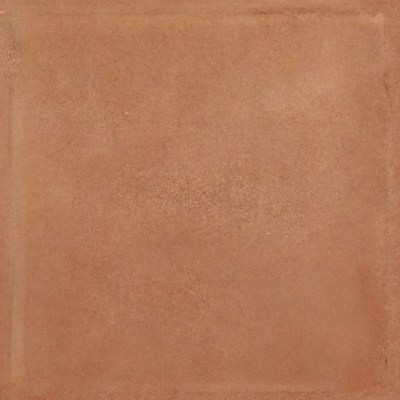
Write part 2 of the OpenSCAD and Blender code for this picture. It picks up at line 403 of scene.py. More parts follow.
# Clouds of tone as (u, v, reach along u, reach along v, lightening), and a turn in degrees where
# they are turned.
TONE_CLOUDS = (
    (74, 77, 11, 9, 16), (84, 90, 5, 9, 11), (82, 78, 4, 4, 9), (60, 74, 14, 7, 7), (48, 60, 15, 5, 5, 35),
    (72, 55, 16, 12, 6), (83, 57, 3, 6, 6), (74, 37, 12, 9, 7), (77, 28, 4, 3, 7), (62, 17, 4, 3, 7),
    (83, 16, 4, 5, 5), (4, 95, 5, 5, 4), (1, 84, 2, 4, 8), (5, 72, 4, 5, 11), (7, 60, 5, 7, 7),
    (17, 53, 4, 3, 8, 10), (26, 63, 3, 3, 12, 30), (22, 83, 3, 2, 3), (48, 93, 9, 2, 6), (56, 5, 9, 2, 4),
    (95, 98.5, 4, 1.2, -3), (17, 90, 6, 3, -4), (33, 87, 6, 5, -3), (28, 77, 3, 3, -4), (49, 75, 4, 5, -5),
    (58, 83, 3, 2, -4), (67, 67, 2, 5, -6, 20), (30, 57, 8, 4, -6, 10), (40, 47.5, 4, 1.5, 9, 15),
    (43, 41, 4, 2, -6, -20), (55, 40, 5, 2, -4), (93, 73, 3, 6, -6), (94, 56, 3, 4, -5), (13, 38, 3, 2, -5),
    (26, 33, 2, 3, -4), (12, 23, 3, 2, -5), (16, 22, 7, 13, -5), (43, 26, 6, 5, -2), (51, 9, 2, 4, -6),
    (42, 6, 4, 3, -4), (74, 6, 8, 3, -7), (90, 8, 4, 2, -6), (15, 7, 7, 3, -4), (11, 80, 2, 3, -7),
    (4, 88, 3, 2, -4), (17, 97.5, 10, 1.5, -4), (21, 90, 2, 4, -4), (57, 97, 4, 2, 6), (70, 96, 5, 1.5, -3),
    (96, 87, 1, 4, 7), (78, 77, 6, 3, 8), (80, 87, 5, 3, 6), (62, 80, 2, 2, -4), (9, 12, 2, 5, 6),
    (13, 17, 2, 2, 4), (4, 49, 3, 5, 5), (23, 36, 3, 3, 5), (34, 29, 2, 5, 5), (52, 37, 3, 5, -4),
    (62, 38, 2, 2, -5), (74, 13, 4, 2, -5), (83, 7, 1.5, 2, 8), (95, 7, 2, 3, 8), (57, 52, 3, 2, 3),
    (84, 37, 2, 4, 3), (33.5, 55.5, 3, 3, -6), (49, 56, 3, 2, -4), (60, 48, 3, 3, -5), (87, 79, 3, 2.5, -5),
    (63, 77, 3, 2, -4), (11, 73, 2, 2, -4), (6, 87.5, 2, 2, -3), (27, 59.5, 2, 1.5, 4), (43.5, 31, 3, 3, 5),
    (32, 19, 3, 2.5, 4), (18, 21, 3, 3, 3), (51, 15, 2, 5, -3), (24, 73, 3, 1.5, 4), (77, 68, 2, 4, 3),
    (41, 38.5, 5, 2, -5), (27, 68, 2, 2, -4), (20, 63, 2, 2, -4), (36, 58, 2, 2, -4), (42, 63, 3, 2, -5),
    (55, 58, 4, 2, -5), (62, 53, 2, 2, -4), (76.5, 48, 4, 2, -4), (75, 38, 3, 2, -3), (82, 33, 2, 2, -4),
    (95, 63, 2, 3, 4), (95, 47, 2, 3, 5), (98, 16, 1.2, 7, 1), (46, 55.5, 1.5, 3, 4), (46, 83, 2, 2, 4),
    (82, 68, 2, 2, 4), (70, 73, 2, 2, 4), (20, 13, 2, 2, 4), (6, 28, 2, 3, 4), (80, 7, 2, 2, 4),
    (36, 66, 3, 2, 4, 10), (58, 62, 2, 2, 4), (83, 65, 1.5, 3, 4), (93, 52, 2, 2, -5), (50, 86.5, 4, 2, 3),
    (76, 75, 3, 2, 2), (25, 88, 3, 2, -4), (23, 55, 3, 2, -3), (52, 54, 2, 2, 3), (86, 52, 1.5, 3, 4),
    (93, 84, 2, 2, 4), (66, 79, 2, 2, -4), (10, 42, 4, 4, -3), (26, 38.5, 2, 3, 3), (36, 42, 3, 2, 4),
    (17, 13, 2, 2, -4), (8, 22, 2, 2, 3), (76, 10, 3, 1.5, -3), (53, 21, 2, 2, -3), (90, 29, 2, 6, -2),
    (28, 67, 2, 2, -4), (73, 73, 2, 2, 4), (95.5, 17, 1.2, 3, 4), (32, 3, 3, 1.5, 3), (6.5, 13, 2, 2, 3),
    (6, 47, 2, 2, 3), (60, 48, 3, 2, -3), (66, 52, 2, 2, -3), (5.8, 72.5, 1.2, 3, 5),
    (94.5, 42.5, 1.2, 2, 5), (95.3, 32.5, 1, 2, 8), (96.9, 22.7, 1.2, 2, 5), (3.5, 2.2, 2, 0.8, -3),
    (10, 2.1, 5, 0.8, -2), (89.5, 2.7, 3, 0.6, 8), (92, 3.3, 2.5, 0.6, -13), (91.5, 2.1, 2.5, 0.4, 8),
    (27, 2.3, 2.2, 0.4, -8), (51, 2.2, 2.2, 0.4, -5), (86, 95.2, 2.2, 0.5, -5), (86, 96.7, 2.5, 0.4, 6),
    (6.5, 59.5, 1.2, 5, 5), (60, 96.2, 5, 0.5, -4), (53, 4.5, 3, 0.8, 5), (1.5, 76, 1.5, 2, -4),
    (90.5, 37.5, 2.5, 2, -5), (27, 44, 2, 2, -4), (22, 62, 2, 2, -4), (17, 57, 3, 2, -4),
    (96, 57, 2, 2, -2), (39, 72, 2, 2, -3), (22, 72, 2, 2, 3), (22, 57, 2, 2, 2), (52, 32, 2, 2, -3),
    (37, 23, 2, 2, -3), (1, 2.5, 0.8, 1.5, -7),
)
# Lightening from the -Y end to the +Y end, under the clouds.
TONE_SLOPE = ((0, -14), (15, -12), (28, -11), (42, -5), (55, -2), (65, -2), (82, -4))
# How much paler the back left corner is than the middle.
TONE_LEAN = 2.5
# Tone that makes one unit of its mask. Warmth and olive have theirs below.
TONE_SPAN = 30

# Clouds of warmth in the same form: ochre above 0, cool pink below.
WARMTH_CLOUDS = (
    (50, 96, 45, 4.5, 3), (20, 88, 10, 5, 0.6), (35, 75, 6, 10, 0.4), (36, 88, 5, 4, 1.8),
    (68, 88, 10, 4, 2.2), (30, 78, 3, 4, 2.5), (53, 82, 3, 4, 2), (32, 45, 3, 6, 2), (27, 35, 4, 3, 2),
    (50, 22, 6, 3, 2.5), (82, 35, 3, 6, 2.5), (88, 14, 6, 4, 1), (74, 10, 6, 6, 2), (84, 70, 3, 3, 2),
    (3, 94, 5, 5, -4), (92, 86, 2, 5, -2.5), (19, 44, 3, 3, -1.8), (58, 63, 5, 4, -1.8),
    (66, 45, 14, 17, -2.6), (68, 27, 12, 8, -1.4), (83, 70, 5, 3, 2.2, 30), (31, 43, 4, 4, 1.8),
    (14, 45, 6, 12, 1.2), (22, 82, 3, 2, -3), (60, 8, 3, 3, -3), (89, 4, 4, 2, 3), (18, 23, 3, 3, 2),
    (2, 4, 2, 3, 3), (5, 13, 3, 6, -1.5), (13, 43, 5, 4, -1.5), (27, 42, 5, 6, -1.5), (37, 52, 2, 2, -2),
    (17, 89, 2, 5, 2), (94, 50, 3, 14, 1.5), (96, 18, 2, 3, 3), (90, 90, 3, 2, -2), (55, 91, 2, 2, -2),
    (10, 55, 3, 3, 2), (45, 57, 3, 2, 2), (57, 57, 3, 2, 2), (86, 97.2, 5, 1, 2.5),
)
WARMTH_SPAN = 6

# Clouds of hue in the same form: olive above 0, rosy below.
OLIVE_CLOUDS = (
    (3.4, 50, 1.4, 60, 1.3), (5, 88, 5, 6, 0.8), (45, 98, 12, 2, 1), (58, 79, 5, 4, 1.2),
    (79, 82, 5, 6, -1.4), (38, 65, 6, 5, -1.6), (88, 72, 2, 2, -1.4), (90, 60, 4, 3, -0.8),
    (47, 53, 2, 2, 1.4), (65, 48, 4, 6, 1.2), (86, 37, 8, 4, -1.4), (76, 30, 6, 4, -0.8),
    (90, 48, 4, 3, -0.7), (26, 36, 8, 4, -1), (25, 13, 4, 3, -1), (10, 45, 5, 5, -0.6),
    (30, 95.5, 30, 2, 2), (58, 95.5, 8, 1.6, 1.2), (86, 96.2, 5, 0.5, 3.2), (80, 98.5, 14, 1.2, -1.6),
    (99, 50, 1.2, 50, -1),
)
OLIVE_SPAN = 12

# How strongly the sand grain shows, in the same form, over a slope from -Y to +Y.
GRAIN_CLOUDS = (
    (42, 53, 10, 5, 0.6), (58, 52, 10, 7, 0.7), (70, 48, 10, 8, 0.6), (85, 55, 4, 6, 0.3),
    (22, 72, 13, 6, 0.35), (74, 72, 12, 7, 0.5), (25, 42, 6, 10, 0.4), (47, 26, 8, 6, 0.55),
    (4, 85, 2, 5, 0.5), (74, 95, 14, 2, 0.5), (97, 50, 2, 45, 0.4), (50, 1, 50, 2, 0.5),
    (96, 18, 3, 16, 0.4), (30, 75, 6, 5, 0.3), (35, 65, 4, 4, -0.45), (85, 75, 4, 3, -0.35),
    (45, 65, 4, 3, 0.35), (35, 55, 4, 3, 0.3), (43, 46, 4, 3, 0.35), (28, 25, 7, 5, 0.4),
    (55, 13, 4, 9, 0.3), (38, 86, 20, 3, 0.2), (97, 85, 3, 3, 0.3), (86, 45, 8, 4, -0.2),
    (86, 20, 8, 12, -0.2), (65, 45.5, 6, 2, -0.3), (32, 54, 5, 3, -0.2), (57, 59, 4, 2, -0.2),
)
GRAIN_SLOPE = ((0, 0.75), (20, 0.6), (50, 0.8), (100, 0.85))
GRAIN_LIMITS = (0.3, 3)

# Rusty stains, torn scuffs, a crackled patch and chips, in the same form.
STAINS = (
    (90.8, 31.5, 1.4, 3, 0.45), (92.2, 24, 1.8, 4, 0.6), (93.8, 18, 1.7, 4.5, 0.62),
    (93.5, 11.5, 2, 3.6, 0.34), (89.3, 5.5, 3.4, 2, 0.95), (78, 96.8, 7, 1, 0.15),
)
SCUFFS = (
    (42, 49.5, 5, 1.7, 1.35), (53, 50, 5, 1.6, 1.1), (48, 56, 5, 3, 0.25, 10), (60, 45, 4, 2, 0.25, -25),
    (72, 46, 4, 2.5, 0.3, 30), (68, 53, 6, 3, 0.4), (83, 56, 2, 5, 0.35), (80, 50, 5, 3, 0.2),
    (38, 63, 4, 3, 0.35), (24, 72, 5, 4, 0.3), (29, 68, 3, 3, 0.4), (22, 52, 4, 3, 0.4),
    (44, 30, 4, 4, 0.2), (78, 76, 5, 2, 0.4, 10), (91.7, 83.5, 1.2, 2.2, 0.6), (95, 60, 1, 4, 0.5),
)
CRACKLES = (
    (3.3, 84.8, 1.1, 2.8, 1.05),
)
CHIPS = (
    (92.6, 95.1, 2.8, 0.8, 0.36), (94.4, 94.4, 0.9, 1.1, 0.36), (0.8, 96.6, 1, 0.4, 0.45),
    (0.3, 89.5, 0.4, 2, 0.2), (98, 22.5, 0.6, 0.6, 0.3),
)


# How far noise pulls the outlines of each kind about, in hundredths of a side, and its cells.
RAGGED = {
    "tone": 3, "warmth": 2, "olive": 2, "grain": 3, "stain": 0.8, "scuff": 6, "crackle": 0.4, "chip": 0.3,
}
RAGGED_CELL = 32 * MM
# Marks with the most that each may reach.
MARKS = {"stain": (STAINS, 1), "scuff": (SCUFFS, 1.3), "crackle": (CRACKLES, 1), "chip": (CHIPS, 1)}


def turn_of(rest):
    """Turn in radians, from what a row holds after its amount: degrees or nothing."""
    return math.radians(rest[0]) if rest else 0.0


def clouds(points, shapes, kind):
    """Sum of turned gaussian clouds, whose outlines are pulled about by the kind's noise."""
    u, v = hundredths(points)
    u = u + RAGGED[kind] * fractal(points, RAGGED_CELL, 4, seed=21, fade=0.7)
    v = v + RAGGED[kind] * fractal(points, RAGGED_CELL, 4, seed=31, fade=0.7)
    total = np.zeros(len(points))
    for mid_u, mid_v, reach_u, reach_v, amount, *rest in shapes:
        cosine, sine = math.cos(turn_of(rest)), math.sin(turn_of(rest))
        across = (u - mid_u) * cosine + (v - mid_v) * sine
        along = (v - mid_v) * cosine - (u - mid_u) * sine
        total += amount * bell(np.hypot(across / reach_u, along / reach_v), 1)
    return total


def side_bands(points, bands):
    """Sum of some bands: each band's share across, times its value along, made patchy."""
    u, v = hundredths(points)
    distances = side_distances(points)
    patchy = 1 + BAND_PATCHINESS * fractal(points, BAND_CELL, 4, seed=17, fade=0.8)
    total = np.zeros(len(points))
    for name, across, values in bands:
        along = along_side(name, u, v)
        total += eased_curve(along, values) * eased_curve(distances[name], across)
    return total * patchy


def crack_distances(points):
    """Distance in millimetres to one side of the nearest crack, and that crack's strength there.

    A crack's distance is the offset from its path, times the cosine of the path's slope.
    """
    u, v = hundredths(points)
    wander = CRACK_WANDER * fractal(points, CRACK_CELL, 4, seed=91, fade=0.7)
    distance, strength = np.full(len(points), NO_CRACK), np.zeros(len(points))
    for path, strengths in CRACKS:
        rise = eased_curve(v + SLOPE_STEP, path) - eased_curve(v - SLOPE_STEP, path)
        offset = (u - eased_curve(v, path)) / 100 * TILE.side / MM
        away = offset / np.hypot(1, rise / (2 * SLOPE_STEP)) + wander
        near = np.abs(away) < CRACK_REACH
        distance[near] = away[near]
        strength[near] = eased_curve(v, strengths)[near]
    return distance, strength


def face_masks(points):
    """Every mask that the clay's colours read, at each point."""
    u, v = hundredths(points)
    tone = eased_curve(v, TONE_SLOPE) + TONE_LEAN * (v - u) / 100
    # The bands beside the foot bring painted light into the tone on the pale crests and lips.
    tone = tone + clouds(points, TONE_CLOUDS, "tone") + side_bands(points, TONE_BANDS)
    warmth = clouds(points, WARMTH_CLOUDS, "warmth") + side_bands(points, WARMTH_BANDS)
    grain = eased_curve(v, GRAIN_SLOPE) + clouds(points, GRAIN_CLOUDS, "grain")
    crack, cracked = crack_distances(points)
    marks = {
        kind: np.clip(clouds(points, shapes, kind), 0, most)
        for kind, (shapes, most) in MARKS.items()
    }
    return {
        "tone": tone / TONE_SPAN,
        "grain": np.clip(grain, *GRAIN_LIMITS),
        "warmth": warmth / WARMTH_SPAN,
        "olive": clouds(points, OLIVE_CLOUDS, "olive") / OLIVE_SPAN,
        "rim_distance": rim_distance(points),
        "line": wear_along(points, "line"),
        "dirt": wear_along(points, "dirt"),
        "crack": crack,
        "cracked": cracked,
        **marks,
    }


# --- The tile's surface -------------------------------------------------------------------

# Cells of the noises that shape the surface.
WAVE_CELL = 70 * MM
TORN_CELL = 2.2 * MM
CRAZED_CELL = 1.8 * MM
CHIP_CELL = 9 * MM
WORN_CELL = 25 * MM
SIDE_CELL = 3 * MM
BACK_CELL = 6 * MM
# Millimetres from the foot to the middle of the soil line, and the line's and the cracks' width.
LINE_MIDDLE = 0.2
LINE_WIDTH = 0.8
# Least and most radius of a pit, and share of the deepest pit's depth.
PIT_RADII = (0.7, 1.8)
PIT_DEPTHS = (0.3, 1.0)
# Noise above which the arris is chipped, and how much of it is worn without a chip.
CHIP_THRESHOLD = 0.35
WORN_SHARE = 0.35
# Degrees between two faces from which their edge is sharp.
SHARP_ANGLE = 38


def graded_lines(low, high, fine_reach, fine_step, coarse_step):
    """Grid lines from low to high, close together near both ends and wider between."""
    fine = np.linspace(0, fine_reach, round(fine_reach / fine_step) + 1)
    span = high - low - 2 * fine_reach
    coarse = np.linspace(low + fine_reach, high - fine_reach, round(span / coarse_step) + 1)
    return np.concatenate([low + fine[:-1], coarse, high - fine[-2::-1]])


def grid_points(xs, ys):
    """Points of a flat grid, row by row along x."""
    x, y = np.meshgrid(xs, ys)
    return np.column_stack([x.ravel(), y.ravel(), np.zeros(x.size)])


def grid_quads(columns, rows):
    """Corner numbers of a grid's quads, counter-clockwise seen from above."""
    first = (np.arange(rows - 1)[:, None] * columns + np.arange(columns - 1)).ravel()
    return np.column_stack([first, first + 1, first + columns + 1, first + columns])


def grid_border(columns, rows):
    """Point numbers round a grid's four sides, counter-clockwise, as one list for each side."""
    front = np.arange(columns)
    right = np.arange(rows) * columns + columns - 1
    back = (rows - 1) * columns + np.arange(columns)[::-1]
    left = (np.arange(rows) * columns)[::-1]
    return front, right, back, left


def field_relief(points, masks, relief):
    """Height of the face: rim, eased shoulder and field, lowered by waves, soil line and scuffs."""
    inside = masks["rim_distance"]
    rise = TILE.high[2] - TILE.rim
    height = TILE.rim + rise * ease(inside * MM / TILE.shoulder)
    height -= relief.wave_height * (1 + fractal(points, WAVE_CELL, 3, seed=41)) / 2
    height -= relief.groove_depth * masks["line"] * bell(inside - LINE_MIDDLE, LINE_WIDTH)
    height -= relief.groove_depth * masks["cracked"] * bell(masks["crack"], LINE_WIDTH)
    height -= relief.scuff_depth * masks["scuff"] * (1 + noise(points, TORN_CELL, seed=51)) / 2
    height -= relief.scuff_depth * masks["crackle"] * (1 + noise(points, CRAZED_CELL, seed=53)) / 2
    return height - pit_depths(points, relief)


def pit_depths(points, relief):
    """Small round-bottomed pits scattered by a seeded draw over the face."""
    draw = np.random.default_rng(7)
    middles = draw.uniform(TILE.low[:2], TILE.high[:2], (relief.pit_count, 2))
    radii = draw.uniform(*PIT_RADII, relief.pit_count) * MM
    depths = draw.uniform(*PIT_DEPTHS, relief.pit_count) * relief.pit_depth
    total = np.zeros(len(points))
    for middle, radius, depth in zip(middles, radii, depths, strict=True):
        away = np.hypot(points[:, 0] - middle[0], points[:, 1] - middle[1])
        total += depth * bell(away, radius / 2)
    return total


def edge_section(relief):
    """The slab's edge as rows of (outwards, up): arris, upright side, foot chamfer.

    Outwards is measured from the plane of the side. The arris is a quarter circle.
    """
    turns = np.linspace(0, math.pi / 2, relief.arris_steps + 1)
    arris = np.column_stack([
        TILE.arris * (np.sin(turns) - 1),
        TILE.rim + TILE.arris * (np.cos(turns) - 1),
    ])
    levels = np.linspace(TILE.rim - TILE.arris, TILE.chamfer, relief.side_steps + 1)[1:]
    side = np.column_stack([np.zeros(len(levels)), levels])
    foot = np.array([[-TILE.chamfer, 0.0]])
    return np.concatenate([arris, side, foot])


def perimeter(xs, ys, relief):
    """Every place round the face's grid: its point's number, its x and y, and the way out.

    A side's places point straight out. A corner repeats its point and turns a quarter circle.
    """
    numbers, ways = [], []
    turns = np.linspace(0, math.pi / 2, relief.corner_steps + 1)
    for quarter, border in enumerate(grid_border(len(xs), len(ys))):
        facing = (quarter - 1) * math.pi / 2
        numbers += [np.full(len(turns), border[0]), border[1:-1]]
        ways += [facing - math.pi / 2 + turns, np.full(len(border) - 2, facing)]
    numbers, ways = np.concatenate(numbers), np.concatenate(ways)
    anchors = grid_points(xs, ys)[numbers]
    return numbers, anchors, np.column_stack([np.cos(ways), np.sin(ways), np.zeros(len(ways))])


def edge_rings(anchors, ways, section, relief):
    """Points of the rings down the edge, with the arris worn and chipped and the side rough."""
    rings = []
    for row, (outwards, up) in enumerate(section):
        ring = anchors + ways * (TILE.corner + outwards)
        ring[:, 2] = up
        arris_share = bell(row - relief.arris_steps / 2, relief.arris_steps / 3)
        chips = np.clip(fractal(ring, CHIP_CELL, 3, seed=61) - CHIP_THRESHOLD, 0, 1)
        worn = WORN_SHARE * (1 + noise(ring, WORN_CELL, seed=65)) / 2
        sink = relief.arris_chip * arris_share * (chips + worn)
        rough = relief.side_roughness * (1 + fractal(ring, SIDE_CELL, 3, seed=71)) / 2
        inwards = sink + rough * (0 < up < TILE.rim)
        ring -= ways * inwards[:, None]
        ring[:, 2] -= sink * (up > TILE.rim - TILE.arris)
        rings.append(ring)
    return np.concatenate(rings)


def key_distance(values, spans):
    """Distance inside the nearest recess along one axis, below 0 on a rib or on the border."""
    middles, halves = spans.mean(axis=1), np.ptp(spans, axis=1) / 2
    nearest = np.abs(values[:, None] - middles).argmin(axis=1)
    return halves[nearest] - np.abs(values - middles[nearest])


def back_relief(points, relief):
    """Height of the back: flat ribs, and recesses with sloping walls and rounded corners."""
    across = key_distance(points[:, 0], TILE.key_spans[0])
    along = key_distance(points[:, 1], TILE.key_spans[1])
    inside = rounded_inside(across, along, TILE.key_cut)
    depth = TILE.key_depth * ease(inside / relief.key_draft)
    return depth + relief.side_roughness * (1 + fractal(points, BACK_CELL, 2, seed=81)) / 4


def back_lines(spans, low, high, relief):
    """Grid lines of the back along one axis: close together at the walls of each recess."""
    offsets = np.array([0, relief.key_draft / 2, relief.key_draft, TILE.key_cut])
    starts, ends = spans[:, :1] + offsets, spans[:, 1:] - offsets[::-1]
    middles = spans.mean(axis=1, keepdims=True)
    border = [low, (low + spans[0, 0]) / 2, (high + spans[-1, 1]) / 2, high]
    return np.sort(np.concatenate([np.hstack([starts, middles, ends]).ravel(), border]))


def zip_strip(outer, inner, outer_places, inner_places):
    """Triangles between two rows of points that run the same way with different spacings.

    The rows are walked together, and each step takes the row whose next point comes first.
    """
    near = np.searchsorted(inner_places[1:], outer_places[1:], side="left")
    far = np.searchsorted(outer_places[1:], inner_places[1:], side="right")
    first = np.column_stack([outer[:-1], inner[near], outer[1:]])
    second = np.column_stack([inner[:-1], inner[1:], outer[far]])
    return np.concatenate([first, second])


# Places of the flat map's islands: lower left corner, and the width of the whole tile there.
FACE_ISLAND = (0.005, 0.005, 0.74)
BACK_ISLAND = (0.755, 0.005, 0.24)
SIDE_ISLAND = (0.005, 0.755, 0.74)
SIDE_ISLAND_STEP = 0.03


def island(places, corner_and_width):
    """Map places of points given in metres from the tile's lowest corner."""
    left, bottom, width = corner_and_width
    return np.array([left, bottom]) + (places + TILE.arris) * width / (TILE.side + 2 * TILE.arris)


class Shell:
    """Faces of one mesh, gathered in blocks, with their places on the flat map."""

    def __init__(self):
        self.corners, self.places, self.sizes = [], [], []

    def add(self, faces, places):
        """Takes faces as rows of point numbers, and the map places of each point by number."""
        self.corners.append(faces.ravel())
        self.places.append(places[faces.ravel()])
        self.sizes.append(np.full(len(faces), faces.shape[1]))

    def mesh(self, name, points):
        """Makes the mesh with its flat map, smooth except at sharp edges."""
        corners, sizes = np.concatenate(self.corners), np.concatenate(self.sizes)
        starts = np.concatenate([[0], np.cumsum(sizes)[:-1]])
        mesh = bpy.data.meshes.new(name)
        mesh.vertices.add(len(points))
        mesh.vertices.foreach_set("co", points.ravel())
        mesh.loops.add(len(corners))
        mesh.loops.foreach_set("vertex_index", corners.astype(np.int32))
        mesh.polygons.add(len(sizes))
        mesh.polygons.foreach_set("loop_start", starts.astype(np.int32))
        mesh.update(calc_edges=True)
        layer = mesh.uv_layers.new(name=MAP_NAME)
        layer.uv.foreach_set("vector", np.concatenate(self.places).ravel())
        mesh.shade_smooth()
        mesh.set_sharp_from_angle(angle=math.radians(SHARP_ANGLE))
        return mesh


def build_tile(relief):
    """The whole tile as one closed mesh: face grid, rings down the edge, and keyed back grid.

    Returns the shell of its faces, its points, and the masks of each point.
    """
    inner_low, inner_high = TILE.low + TILE.corner, TILE.high - TILE.corner
    spacing = (relief.rim_reach, relief.rim_step, relief.field_step)
    xs = graded_lines(inner_low[0], inner_high[0], *spacing)
    ys = graded_lines(inner_low[1], inner_high[1], *spacing)
    face = grid_points(xs, ys)

    border, anchors, ways = perimeter(xs, ys, relief)
    section = edge_section(relief)
    rings = edge_rings(anchors, ways, section, relief)
    count, rows = len(border), len(section)
    ring_numbers = len(face) + np.arange(rows * count).reshape(rows, count)

    back_edge = TILE.low[:2] + relief.back_margin, TILE.high[:2] - relief.back_margin
    back_xs = back_lines(TILE.key_spans[0], back_edge[0][0], back_edge[1][0], relief)
    back_ys = back_lines(TILE.key_spans[1], back_edge[0][1], back_edge[1][1], relief)
    back = grid_points(back_xs, back_ys)
    back_numbers = len(face) + len(rings)

    points = np.concatenate([face, rings, back])
    masks = face_masks(points)
    points[: len(face), 2] = field_relief(face, {k: m[: len(face)] for k, m in masks.items()}, relief)
    points[back_numbers:, 2] = back_relief(back, relief)
    masks["raw"] = np.concatenate([
        np.zeros(len(face)),
        np.repeat(ease((np.arange(rows) + 1) / (relief.arris_steps + 1)), count),
        np.ones(len(back)),
    ])

    # Map places: the face and its arris rolled flat, the sides as strips, the back seen from below.
    lengths = np.concatenate([[0], np.cumsum(np.hypot(*np.diff(section, axis=0).T))])
    rolled = [anchors + ways * (TILE.corner - TILE.arris + length) for length in lengths]
    face_places = np.concatenate([face, *rolled, back])[:, :2] - TILE.low[:2]
    back_places = (points[:, :2] - TILE.low[:2]) * [-1, 1] + [TILE.side, 0]

    shell = Shell()
    face_map, back_map = island(face_places, FACE_ISLAND), island(back_places, BACK_ISLAND)
    shell.add(grid_quads(len(xs), len(ys)), face_map)
    after = np.roll(np.arange(count), -1)
    first = ring_numbers[0]
    straight = border != border[after]
    shell.add(np.column_stack([border, first, first[after], border[after]])[straight], face_map)
    shell.add(np.column_stack([border, first, first[after]])[~straight], face_map)
    for row in range(rows - 1):
        above, below = ring_numbers[row], ring_numbers[row + 1]
        quads = np.column_stack([above, below, below[after], above[after]])
        if row < relief.arris_steps:
            shell.add(quads, face_map)
            continue
        for side, members in enumerate(side_members(count, len(xs), len(ys), relief)):
            strip = np.zeros((len(points), 2))
            run = anchors[members] + ways[members] * TILE.corner
            steps = np.hypot(*np.diff(run[:, :2], axis=0).T)
            along = np.concatenate([[0], np.cumsum(steps)])
            strip[above[members]] = np.column_stack([along, np.full(len(along), lengths[row])])
            strip[below[members]] = np.column_stack([along, np.full(len(along), lengths[row + 1])])
            left, bottom, width = SIDE_ISLAND
            place = (left, bottom + side * SIDE_ISLAND_STEP, width)
            shell.add(quads[members[:-1]], island(strip, place))

    back_border = grid_border(len(back_xs), len(back_ys))
    last = ring_numbers[-1]
    for side, members in enumerate(side_members(count, len(xs), len(ys), relief)):
        way = np.array([(1, 0), (0, 1), (-1, 0), (0, -1)][side])
        outer, inner = last[members], back_numbers + back_border[side]
        outer_places, inner_places = points[outer][:, :2] @ way, points[inner][:, :2] @ way
        shell.add(zip_strip(outer, inner, outer_places, inner_places), back_map)
    back_faces = back_numbers + grid_quads(len(back_xs), len(back_ys))[:, ::-1]
    shell.add(back_faces, back_map)
    return shell, points, masks


def side_members(count, columns, rows, relief):
    """Numbers of the perimeter's places along each side, from mid-corner to mid-corner."""
    turn = relief.corner_steps + 1
    middle = relief.corner_steps // 2
    lengths = (columns - 2, rows - 2, columns - 2, rows - 2)
    found, start = [], 0
    for length in lengths:
        stop = start + turn + length
        found.append(np.arange(start + middle, stop + middle + 1) % count)
        start = stop
    return found


# --- Clay ---------------------------------------------------------------------------------


# A fleck's reach below the face, and where its edge starts and stops, in shares of its size.
FLECK_DEPTH = 5 * MM
FLECK_EDGE = (1.2, 0.6)

# What a full step of each quality adds to the clay's red, green and blue.
WARM_SHIFT = (0.024, 0.003, -0.010)
OLIVE_SHIFT = (-0.036, 0.030, -0.010)
# TORN_SHIFT tints the specks of torn clay, which are partly painted light and shade of its tiny pits.
TORN_SHIFT = (0.50, 0.34, 0.24)
WISP_SHIFT = (0.50, 0.42, 0.34)
GAP_SHIFT = (0.50, 0.25, 0.15)
SAND_SHIFT = (0.35, 0.235, 0.175)


